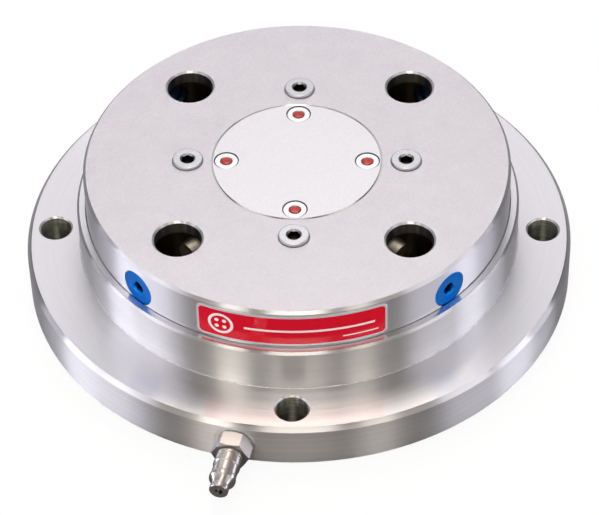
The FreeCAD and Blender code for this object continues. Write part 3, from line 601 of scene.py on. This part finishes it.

# %% [markdown]
# ## Screws
#
# The four body screws have low heads of stainless steel, turned and then tumbled, which rounds their rims
# and leaves them softly bright. The four cover screws lie just under the cover's face, and their ground
# heads mirror the big softbox and look nearly white. Both have a fine satin grain, and differ in its size,
# in tone and in gloss, so one function makes the two. It also serves the pieces inside: the hardened
# piston and dowels, and the springs. The body screws' hexagon sockets get a dark inside, which is painted
# shade.


# %% Satin metals
def satin_metal(name, dull, bright, roughness, grain_size):
    """Metal with a fine even grain. The grain's size is in millimetres."""
    material, tree, shader = start_material(name, bright, roughness, Metallic=1.0)
    position = add(tree, "TexCoord").outputs["Object"]
    scale = 1 / (grain_size * MM)
    grain = add(tree, "TexNoise", {"Vector": position, "Scale": scale, "Detail": 3.0})
    tone = add(tree, "ValToRGB", {0: grain.outputs[0]})
    tone.color_ramp.elements[0].position = 0.3
    tone.color_ramp.elements[0].color = colour(dull)
    tone.color_ramp.elements[1].position = 0.7
    tone.color_ramp.elements[1].color = colour(bright)
    tree.links.new(tone.outputs[0], shader.inputs["Base Color"])
    low, high = 0.85 * roughness, 1.15 * roughness
    gloss = add(tree, "MapRange", {"Value": grain.outputs[0], "To Min": low, "To Max": high})
    tree.links.new(gloss.outputs[0], shader.inputs["Roughness"])
    bump = add(tree, "Bump", {"Height": grain.outputs[0], "Strength": 0.25, "Distance": 0.01 * MM})
    tree.links.new(bump.outputs[0], shader.inputs["Normal"])
    return material


tumbled_stainless = satin_metal("tumbled_stainless_steel", "#BFBFC4", "#CCCCD0", 0.32, 1.2)
tree = tumbled_stainless.node_tree
shader = tree.nodes["Principled BSDF"]
head = shader.inputs["Base Color"].links[0].from_socket
position = add(tree, "TexCoord").outputs["Object"]
# Painted shade: the inside of each body screw's hexagon socket is coloured dark.
in_socket = near_bores(tree, position, BODY_SCREW, SOCKET_WALL, on_axes=True)
height = add(tree, "SeparateXYZ", {0: position}).outputs[2]
below = add(tree, "Math", {0: height, 1: screw_top - SOCKET_MOUTH}, operation="LESS_THAN")
socket_shade = add(tree, "Math", {0: in_socket, 1: below.outputs[0]}, operation="MULTIPLY")
whole = add(tree, "Mix", {0: socket_shade.outputs[0], 6: head, 7: colour("#34352F")}, data_type="RGBA")
tree.links.new(whole.outputs[2], shader.inputs["Base Color"])
dress(tumbled_stainless, "body_screws")
dress(satin_metal("ground_screw_steel", "#E4E4E7", "#EDEDEF", 0.42, 0.8), "cover_screws")
hardened = satin_metal("hardened_polished_steel", "#B9B1A4", "#CCC5B8", 0.3, 1.5)
dress(hardened, "locating_dowels", "drive_piston")
phosphated = satin_metal("phosphated_spring_steel", "#6F6B66", "#8B8780", 0.42, 0.8)
dress(phosphated, "disc_springs", "nipple_spring")

# %% [markdown]
# ## Screw lacquer
#
# A drop of red lacquer in each cover screw's socket shows that it has been torqued and
# mustn't be opened. It was dabbed in and sank as it dried, so it is glossy, with a soft uneven
# surface, and its red is deeper in some places than in others.

# %% Lacquer
lacquer, tree, shader = start_material(
    "red_torque_lacquer", "#A81A14", 0.3,
    Specular_IOR_Level=0.3, Coat_Weight=0.4, Coat_Roughness=0.08,
)
position = add(tree, "TexCoord").outputs["Object"]
pool = add(tree, "TexNoise", {"Vector": position, "Scale": 1 / (1.5 * MM), "Detail": 2.0})
tone = add(tree, "ValToRGB", {0: pool.outputs[0]})
tone.color_ramp.elements[0].position = 0.35
tone.color_ramp.elements[0].color = colour("#8F120F")
tone.color_ramp.elements[1].position = 0.65
tone.color_ramp.elements[1].color = colour("#BC241A")
tree.links.new(tone.outputs[0], shader.inputs["Base Color"])
bump = add(tree, "Bump", {"Height": pool.outputs[0], "Strength": 0.4, "Distance": 0.1 * MM})
tree.links.new(bump.outputs[0], shader.inputs["Normal"])
dress(lacquer, "cover_screw_lacquer")

# %% [markdown]
# ## Blue anodised plugs
#
# Each lock pin's bore is closed from outside by an aluminium plug. It is anodised: an
# electric bath grows a clear, porous oxide that drinks up blue dye and is then sealed. So the
# colour belongs to the metal's own reflection, under a thin clear skin. The face was turned
# before, and keeps faint rings about the plug's own axis, which lies on the plate's diagonal.
# Hardly any light gets into the socket or to the plug's inner end, so the colour is darkened with depth as
# painted shade.

# %% Anodised aluminium
DIAGONAL = 0.7071
PLUG_LIT = PLUG_FACE - 0.4 * MM
PLUG_DARK = PLUG_FACE - 2 * MM
anodised, tree, shader = start_material(
    "blue_anodised_aluminium", "#0088FF", 0.38,
    Metallic=0.8, Specular_IOR_Level=0.1, Coat_Weight=0.1, Coat_Roughness=0.1,
)
position = add(tree, "TexCoord").outputs["Object"]
side = add(tree, "VectorMath", {0: position}, operation="ABSOLUTE")
middle = add(
    tree, "VectorMath", {0: side.outputs[0], 1: (DIAGONAL, DIAGONAL, 0)}, operation="DOT_PRODUCT"
)
height = add(tree, "SeparateXYZ", {0: position}).outputs[2]
rise = add(tree, "Math", {0: height, 1: PLUG_HEIGHT}, operation="SUBTRACT")
across = add(
    tree, "VectorMath", {0: side.outputs[0], 1: (DIAGONAL, -DIAGONAL, 0)}, operation="DOT_PRODUCT"
)
offset = add(tree, "CombineXYZ", {0: across.outputs["Value"], 1: rise.outputs[0]})
ring = add(tree, "VectorMath", {0: offset.outputs[0]}, operation="LENGTH")
path = add(tree, "Math", {0: ring.outputs["Value"], 1: 1 / MM}, operation="MULTIPLY")
rings = add(
    tree, "TexNoise", {"W": path.outputs[0], "Scale": 1 / GROOVE, "Detail": 2.0},
    noise_dimensions="1D",
)
dye = add(tree, "ValToRGB", {0: rings.outputs[0]})
dye.color_ramp.elements[0].position = 0.25
dye.color_ramp.elements[0].color = colour("#0084FA")
dye.color_ramp.elements[1].position = 0.75
dye.color_ramp.elements[1].color = colour("#0094FF")
# Painted shade: the blue darkens with depth into the socket and towards the plug's inner end.
shade = add(
    tree, "MapRange",
    {"Value": middle.outputs["Value"], "From Min": PLUG_DARK, "From Max": PLUG_LIT, "To Min": 0.1},
)
dye_and_shade = add(tree, "VectorMath", {0: dye.outputs[0], "Scale": shade.outputs[0]}, operation="SCALE")
tree.links.new(dye_and_shade.outputs[0], shader.inputs["Base Color"])
gloss = add(tree, "MapRange", {"Value": rings.outputs[0], "To Min": 0.36, "To Max": 0.48})
tree.links.new(gloss.outputs[0], shader.inputs["Roughness"])
bump = add(tree, "Bump", {"Height": rings.outputs[0], "Strength": 0.3, "Distance": 0.02 * MM})
tree.links.new(bump.outputs[0], shader.inputs["Normal"])
dress(anodised, "bore_plugs")

# %% [markdown]
# ## Rubber seals
#
# The seals are moulded nitrile rubber, black from the carbon in it. Moulding leaves a dull
# skin with a slight bloom, which is a greyish haze where wax has come to the surface.

# %% Rubber
rubber, tree, shader = start_material(
    "moulded_nitrile_rubber", "#17171A", 0.6, Specular_IOR_Level=0.4
)
position = add(tree, "TexCoord").outputs["Object"]
bloom = add(tree, "TexNoise", {"Vector": position, "Scale": 1 / (2 * MM), "Detail": 4.0})
tone = add(tree, "ValToRGB", {0: bloom.outputs[0]})
tone.color_ramp.elements[0].color = colour("#131315")
tone.color_ramp.elements[1].color = colour("#26262A")
tree.links.new(tone.outputs[0], shader.inputs["Base Color"])
gloss = add(tree, "MapRange", {"Value": bloom.outputs[0], "To Min": 0.5, "To Max": 0.75})
tree.links.new(gloss.outputs[0], shader.inputs["Roughness"])
dress(rubber, "body_seal", "cover_seal", "spigot_seal", "bore_plug_seals")
dress(rubber, "piston_seal", "nipple_poppet_seal")
dress(rubber, *["lock_pin_seal_" + place for place in PLACES])

# %% [markdown]
# ## Lock pins
#
# The noses of the pins show in the front bores. They are hardened and ground on their round
# side, so the marks run round each pin's own axis. The four axes lie on the diagonals, and the
# sign of x and y tells on which, so one material serves all four pins.

# %% Hardened, ground steel
FINE_GROOVE = 0.4
pin_steel, tree, shader = start_material(
    "hardened_ground_steel", "#CFC6B8", 0.5,
    Metallic=1.0, Anisotropic=0.5, Anisotropic_Rotation=0.25,
)
position = add(tree, "TexCoord").outputs["Object"]
normal = add(tree, "NewGeometry").outputs["Normal"]
sign = add(tree, "VectorMath", {0: position}, operation="SIGN")
diagonal = add(tree, "VectorMath", {0: sign.outputs[0], 1: (1, 1, 0)}, operation="MULTIPLY")
around = add(tree, "VectorMath", {0: diagonal.outputs[0], 1: normal}, operation="CROSS_PRODUCT")
direction = add(tree, "VectorMath", {0: around.outputs[0]}, operation="NORMALIZE")
tree.links.new(direction.outputs[0], shader.inputs["Tangent"])
along = add(tree, "VectorMath", {0: position, 1: diagonal.outputs[0]}, operation="DOT_PRODUCT")
path = add(tree, "Math", {0: along.outputs["Value"], 1: DIAGONAL / MM}, operation="MULTIPLY")
marks = add(
    tree, "TexNoise", {"W": path.outputs[0], "Scale": 1 / FINE_GROOVE, "Detail": 2.0},
    noise_dimensions="1D",
)
tone = add(tree, "ValToRGB", {0: marks.outputs[0]})
tone.color_ramp.elements[0].position = 0.3
tone.color_ramp.elements[0].color = colour("#AAA093")
tone.color_ramp.elements[1].position = 0.7
tone.color_ramp.elements[1].color = colour("#C6BEB1")
tree.links.new(tone.outputs[0], shader.inputs["Base Color"])
bump = add(tree, "Bump", {"Height": marks.outputs[0], "Strength": 0.25, "Distance": 0.02 * MM})
tree.links.new(bump.outputs[0], shader.inputs["Normal"])
dress(pin_steel, *["lock_pin_" + place for place in PLACES])

# %% [markdown]
# ## Nickel-plated nipple
#
# The nipple is turned from brass bar and nickel-plated, which turns it silvery with a faint warm cast. Its
# steps were cut on a lathe too, round its own axis, and plating softens the marks. The axis runs out from
# the middle of the plate, so the box of the little poppet at its end gives the direction. The narrow bore
# is coloured dark, which is painted shade. The poppet in it is polished nickel silver, and the washer
# behind the hexagon is zinc-plated.

# %% Nickel plate
poppet_low, poppet_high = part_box("nipple_poppet")
nipple_axis = ((poppet_low + poppet_high) / 2 * Vector((1, 1, 0))).normalized()
poppet_height = (poppet_low.z + poppet_high.z) / 2
NIPPLE_BORE = 1.47 * MM
nickel, tree, shader = start_material(
    "nickel_plated_brass", "#D6D2CC", 0.38, Metallic=1.0, Anisotropic=0.8, Anisotropic_Rotation=0.25
)
position = add(tree, "TexCoord").outputs["Object"]
normal = add(tree, "NewGeometry").outputs["Normal"]
around = add(tree, "VectorMath", {0: nipple_axis, 1: normal}, operation="CROSS_PRODUCT")
direction = add(tree, "VectorMath", {0: around.outputs[0]}, operation="NORMALIZE")
tree.links.new(direction.outputs[0], shader.inputs["Tangent"])
along = add(tree, "VectorMath", {0: position, 1: nipple_axis}, operation="DOT_PRODUCT")
path = add(tree, "Math", {0: along.outputs["Value"], 1: 1 / MM}, operation="MULTIPLY")
marks = add(
    tree, "TexNoise", {"W": path.outputs[0], "Scale": 1 / FINE_GROOVE, "Detail": 2.0},
    noise_dimensions="1D",
)
tone = add(tree, "ValToRGB", {0: marks.outputs[0]})
tone.color_ramp.elements[0].position = 0.3
tone.color_ramp.elements[0].color = colour("#CFCAC4")
tone.color_ramp.elements[1].position = 0.7
tone.color_ramp.elements[1].color = colour("#DCD8D4")
# Painted shade: within the narrow bore's radius of the axis the nipple is coloured dark.
from_middle = add(
    tree, "VectorMath", {0: position, 1: (0, 0, poppet_height)}, operation="SUBTRACT"
)
off_axis = add(
    tree, "VectorMath", {0: from_middle.outputs[0], 1: nipple_axis}, operation="CROSS_PRODUCT"
)
reach = add(tree, "VectorMath", {0: off_axis.outputs[0]}, operation="LENGTH")
in_bore = add(tree, "Math", {0: reach.outputs["Value"], 1: NIPPLE_BORE}, operation="LESS_THAN")
whole = add(
    tree, "Mix", {0: in_bore.outputs[0], 6: tone.outputs[0], 7: colour("#4A443C")}, data_type="RGBA"
)
tree.links.new(whole.outputs[2], shader.inputs["Base Color"])
bump = add(tree, "Bump", {"Height": marks.outputs[0], "Strength": 0.12, "Distance": 0.02 * MM})
tree.links.new(bump.outputs[0], shader.inputs["Normal"])
dress(nickel, "nipple_body")
dress(satin_metal("polished_nickel_silver", "#D5CDBE", "#E6DFD2", 0.3, 1.5), "nipple_poppet")
dress(satin_metal("zinc_plated_washer", "#B7B8BC", "#CDCED2", 0.4, 0.8), "nipple_washer")

# %% [markdown]
# ## The bright line at the housing's foot
#
# Round the housing's foot runs a hair-thin bright line, such as a small rolled-over edge makes.
# It is a little uneven in tone. A hexagon 0.8 mm across, spun once round the plate's axis, gives
# that line a round back to shine on, which no bump on a flat face could.

# %% Rolled lip
LIP_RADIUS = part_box("cylinder_housing")[1].x
LIP_SIZE = 0.4 * MM
LIP_STEPS = 360
UPRIGHT = (math.pi / 2, 0, 0)


def start_piece():
    """Leaves nothing selected, so that the next operator works on the new piece alone."""
    bpy.ops.object.select_all(action="DESELECT")


start_piece()
bpy.ops.mesh.primitive_circle_add(
    vertices=6, radius=LIP_SIZE, location=(LIP_RADIUS, 0, flange_height), rotation=UPRIGHT
)
bpy.ops.object.transform_apply(location=True, rotation=True, scale=True)
lip = bpy.context.object
lip.name = "rolled_lip"
bpy.ops.object.mode_set(mode="EDIT")
bpy.ops.mesh.select_all(action="SELECT")
bpy.ops.mesh.spin(steps=LIP_STEPS, angle=2 * math.pi, center=(0, 0, 0), axis=(0, 0, 1))
bpy.ops.mesh.select_all(action="SELECT")
bpy.ops.mesh.remove_doubles(threshold=0.01 * MM)
bpy.ops.mesh.normals_make_consistent(inside=False)
bpy.ops.object.mode_set(mode="OBJECT")
bpy.ops.object.shade_smooth_by_angle(angle=math.radians(80))

lip_steel, tree, shader = start_material("rolled_steel_edge", "#E6E4E4", 0.3, Metallic=1.0)
position = add(tree, "TexCoord").outputs["Object"]
nicks = add(tree, "TexNoise", {"Vector": position, "Scale": 1 / (2.5 * MM), "Detail": 3.0})
tone = add(tree, "ValToRGB", {0: nicks.outputs[0]})
tone.color_ramp.elements[0].position = 0.4
tone.color_ramp.elements[0].color = colour("#D6D5D8")
tone.color_ramp.elements[1].position = 0.6
tone.color_ramp.elements[1].color = colour("#EDECEE")
tree.links.new(tone.outputs[0], shader.inputs["Base Color"])
bump = add(tree, "Bump", {"Height": nicks.outputs[0], "Strength": 0.1, "Distance": 0.03 * MM})
tree.links.new(bump.outputs[0], shader.inputs["Normal"])
lip.data.materials.append(lip_steel)
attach(lip, "base")
print("lip", len(lip.data.polygons), "faces at radius", round(LIP_RADIUS / MM, 2), "mm")

# %% [markdown]
# ## Label: a foil backing, a red film and plain print
#
# The label is a strip of aluminium foil bent round the body, and a printed red film that
# leaves a narrow rim of the foil bare. The foil is the CAD node. For the film we draw a flat
# sheet, round its corners with a vertex bevel, cut it into narrow strips with bisects so that
# it can bend, and wrap it with a Simple Deform: an arc of length L and radius R turns
# through L / R. It is quicker and truer than placing points round the arc one by one.
#
# The print carries no words. A ring with four dots, the plate seen from above, stands where a
# maker's sign would be, with two plain rules beside it.

# %% Bend a flat sheet round the body
label_low, label_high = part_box("label_plate")
LABEL_RADIUS = -label_low.y
LABEL_MIDDLE = (label_low.z + label_high.z) / 2
STRIP = 2 * MM
STRIPS_EACH_SIDE = 40


def wrap(piece, proud, thickness):
    """Bends a sheet drawn flat in the XZ plane round the body, that far proud of the foil."""
    width = piece.dimensions.x
    bpy.ops.object.mode_set(mode="EDIT")
    for strip in range(-STRIPS_EACH_SIDE, STRIPS_EACH_SIDE + 1):
        bpy.ops.mesh.select_all(action="SELECT")
        bpy.ops.mesh.bisect(plane_co=(strip * STRIP, 0, 0), plane_no=(1, 0, 0))
    bpy.ops.object.mode_set(mode="OBJECT")
    wall = piece.modifiers.new("wall", "SOLIDIFY")
    wall.thickness = thickness
    wall.offset = 1.0
    bend = piece.modifiers.new("bend", "SIMPLE_DEFORM")
    bend.deform_method = "BEND"
    bend.deform_axis = "Z"
    bend.angle = width / LABEL_RADIUS
    for name in ("wall", "bend"):
        bpy.ops.object.modifier_apply(modifier=name)
    piece.location.y = -LABEL_RADIUS - proud
    bpy.ops.object.transform_apply(location=True, rotation=True, scale=True)


print("label radius", round(LABEL_RADIUS / MM, 2), "mm")
print("label's middle at", round(LABEL_MIDDLE / MM, 2), "mm")

# %% [markdown]
# The film is a plane that is given its size, and its four corners are then rounded. A vertex
# bevel does that on a flat sheet: it cuts off each corner by an arc in the sheet's own plane.

# %% Red film
FILM_WIDTH = 78.2 * MM
FILM_HEIGHT = 14.5 * MM
FILM_CORNER = 2.0 * MM
FILM_THICKNESS = 0.05 * MM
start_piece()
bpy.ops.mesh.primitive_plane_add(size=1.0, location=(0, 0, LABEL_MIDDLE), rotation=UPRIGHT)
bpy.ops.object.transform_apply(location=True, rotation=True, scale=True)
film = bpy.context.object
film.name = "label_film"
bpy.ops.object.mode_set(mode="EDIT")
bpy.ops.mesh.select_all(action="SELECT")
bpy.ops.transform.resize(value=(FILM_WIDTH, 1, FILM_HEIGHT), center_override=(0, 0, LABEL_MIDDLE))
bpy.ops.mesh.bevel(offset=FILM_CORNER, segments=6, affect="VERTICES")
bpy.ops.object.mode_set(mode="OBJECT")
wrap(film, 0.0, FILM_THICKNESS)
film_end = min(vertex.co.x for vertex in film.data.vertices)
print("film", len(film.data.polygons), "faces, from x", round(film_end / MM, 2), "mm")

# %% [markdown]
# The print is one mesh. In edit mode each new circle or plane joins the mesh and is the only
# thing selected, so the inset that turns the first circle into a ring touches nothing else.

# %% White print
SIGN_X = -29.5 * MM
SIGN_RADIUS = 5.5 * MM
SIGN_LINE = 1.2 * MM
DOT_RADIUS = 0.9 * MM
DOT_OFFSET = 1.65 * MM
INK_THICKNESS = 0.02 * MM
# Each rule's middle along the label and above its middle line, its length and its width
RULES = ((7.5 * MM, 0.0, 54 * MM, 1.1 * MM), (28.5 * MM, -4.6 * MM, 15 * MM, 0.6 * MM))
start_piece()
bpy.ops.mesh.primitive_circle_add(
    vertices=48,
    radius=SIGN_RADIUS,
    fill_type="NGON",
    location=(SIGN_X, 0, LABEL_MIDDLE),
    rotation=UPRIGHT,
)
bpy.ops.object.transform_apply(location=True, rotation=True, scale=True)
print_piece = bpy.context.object
print_piece.name = "label_print"
bpy.ops.object.mode_set(mode="EDIT")
bpy.ops.mesh.inset(thickness=SIGN_LINE)
bpy.ops.mesh.delete(type="FACE")
for x in (-DOT_OFFSET, DOT_OFFSET):
    for z in (-DOT_OFFSET, DOT_OFFSET):
        bpy.ops.mesh.primitive_circle_add(
            vertices=16,
            radius=DOT_RADIUS,
            fill_type="NGON",
            location=(SIGN_X + x, 0, LABEL_MIDDLE + z),
            rotation=UPRIGHT,
        )
for x, z, length, height in RULES:
    middle = (x, 0, LABEL_MIDDLE + z)
    bpy.ops.mesh.primitive_plane_add(size=1.0, location=middle, rotation=UPRIGHT)
    bpy.ops.transform.resize(value=(length, 1, height), center_override=middle)
bpy.ops.object.mode_set(mode="OBJECT")
wrap(print_piece, FILM_THICKNESS, INK_THICKNESS)
print("print", len(print_piece.data.polygons), "faces")

# %% [markdown]
# ## Label finishes
#
# The foil is brushed along its length before it is cut, so it shows fine level lines. The film
# is polyester printed from behind, which gives an even, deep red under a smooth gloss, and the
# print on top is a thick white screen ink with a slight tooth.

# %% Foil, film and ink
foil, tree, shader = start_material("brushed_aluminium_foil", "#DCDCE2", 0.4, Metallic=0.4)
position = add(tree, "TexCoord").outputs["Object"]
long_lines = (1 / (12 * MM), 1 / (12 * MM), 1 / (0.4 * MM))
brushed = add(tree, "Mapping", {"Vector": position, "Scale": long_lines})
lines = add(tree, "TexNoise", {"Vector": brushed.outputs[0], "Scale": 1.0, "Detail": 2.0})
tone = add(tree, "ValToRGB", {0: lines.outputs[0]})
tone.color_ramp.elements[0].position = 0.3
tone.color_ramp.elements[0].color = colour("#D3D3DE")
tone.color_ramp.elements[1].position = 0.7
tone.color_ramp.elements[1].color = colour("#EAEAF2")
tree.links.new(tone.outputs[0], shader.inputs["Base Color"])
gloss = add(tree, "MapRange", {"Value": lines.outputs[0], "To Min": 0.28, "To Max": 0.42})
tree.links.new(gloss.outputs[0], shader.inputs["Roughness"])
dress(foil, "label_plate")

film_red, tree, shader = start_material(
    "printed_red_polyester", "#DE0A28", 0.5,
    Specular_IOR_Level=0.0, Coat_Weight=1.0, Coat_Roughness=0.04,
)
position = add(tree, "TexCoord").outputs["Object"]
mottle = add(tree, "TexNoise", {"Vector": position, "Scale": 1 / (1.2 * MM), "Detail": 3.0})
tone = add(tree, "ValToRGB", {0: mottle.outputs[0]})
tone.color_ramp.elements[0].position = 0.3
tone.color_ramp.elements[0].color = colour("#D60624")
tone.color_ramp.elements[1].position = 0.7
tone.color_ramp.elements[1].color = colour("#E20B2B")
tree.links.new(tone.outputs[0], shader.inputs["Base Color"])
bump = add(tree, "Bump", {"Height": mottle.outputs[0], "Strength": 0.15, "Distance": 0.01 * MM})
tree.links.new(bump.outputs[0], shader.inputs["Normal"])

ink, tree, shader = start_material("white_screen_ink", "#F3F0F0", 0.5)
position = add(tree, "TexCoord").outputs["Object"]
tooth = add(tree, "TexNoise", {"Vector": position, "Scale": 1 / (0.5 * MM), "Detail": 2.0})
tone = add(tree, "ValToRGB", {0: tooth.outputs[0]})
tone.color_ramp.elements[0].color = colour("#ECE7E8")
tone.color_ramp.elements[1].color = colour("#F8F6F6")
tree.links.new(tone.outputs[0], shader.inputs["Base Color"])
for piece, finish in ((film, film_red), (print_piece, ink)):
    piece.data.materials.append(finish)
    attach(piece, "base")
print("label dressed")
